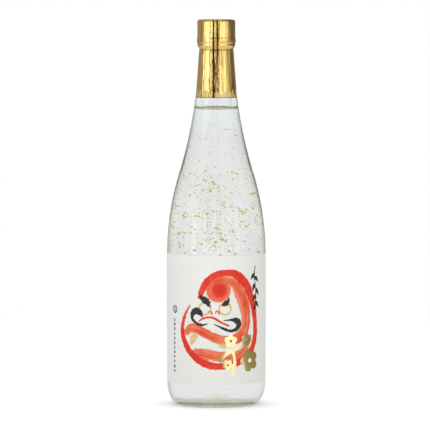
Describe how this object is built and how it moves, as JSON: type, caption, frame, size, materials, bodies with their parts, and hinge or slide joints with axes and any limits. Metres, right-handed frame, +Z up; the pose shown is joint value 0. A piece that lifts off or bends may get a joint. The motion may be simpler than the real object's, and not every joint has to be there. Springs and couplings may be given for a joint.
{
  "type": "sake bottle",
  "caption": "Clear glass sake bottle with a screw cap under a gold film capsule, a wrap-round paper label painted with a daruma doll, and gold leaf floating in the sake.",
  "frame": {"origin": "centre of the base, on the surface that the bottle stands on", "axes": "+Z up along the bottle's axis, the front of the label faces -Y, +X to the right of a viewer facing the label"},
  "size_m": [0.0772, 0.0771, 0.3002],
  "materials": {
    "clear_glass": "clear flint glass with a faint green edge tint",
    "sake": "clear liquid, stood in for by a solid",
    "gold_leaf": "torn gold leaf, bright and crumpled",
    "label_paper": "matt off-white paper with a brush painting printed in red and black",
    "cap_aluminium": "lacquered rolled sheet",
    "gold_film": "metallised gold shrink film with fine upright wrinkles",
    "liner_foam": "white foamed sealing wad"
  },
  "bodies": {
    "bottle": {"glass_bottle": "clear_glass", "sake_fill": "sake", "gold_leaf_floating": "gold_leaf", "gold_leaf_settled": "gold_leaf", "wrap_label": "label_paper", "tamper_band": "cap_aluminium", "capsule_skirt": "gold_film"},
    "liner": {"cap_liner": "liner_foam"},
    "cap": {"screw_cap": "cap_aluminium", "capsule_top": "gold_film", "capsule_hood": "gold_film"}
  },
  "joints": [
    {"name": "cap_rise", "type": "slide", "parent": "bottle", "child": "liner", "axis": [0, 0, 1], "range_m": [0, 0.0192]},
    {"name": "cap_turn", "type": "hinge", "parent": "liner", "child": "cap", "pos_m": [0, 0, 0.2835], "axis": [0, 0, 1], "range_deg": [0, 2160]}
  ],
  "couplings": [
    {"joint": "cap_rise", "follows": "cap_turn", "m_per_rad": 0.00050611}
  ]
}
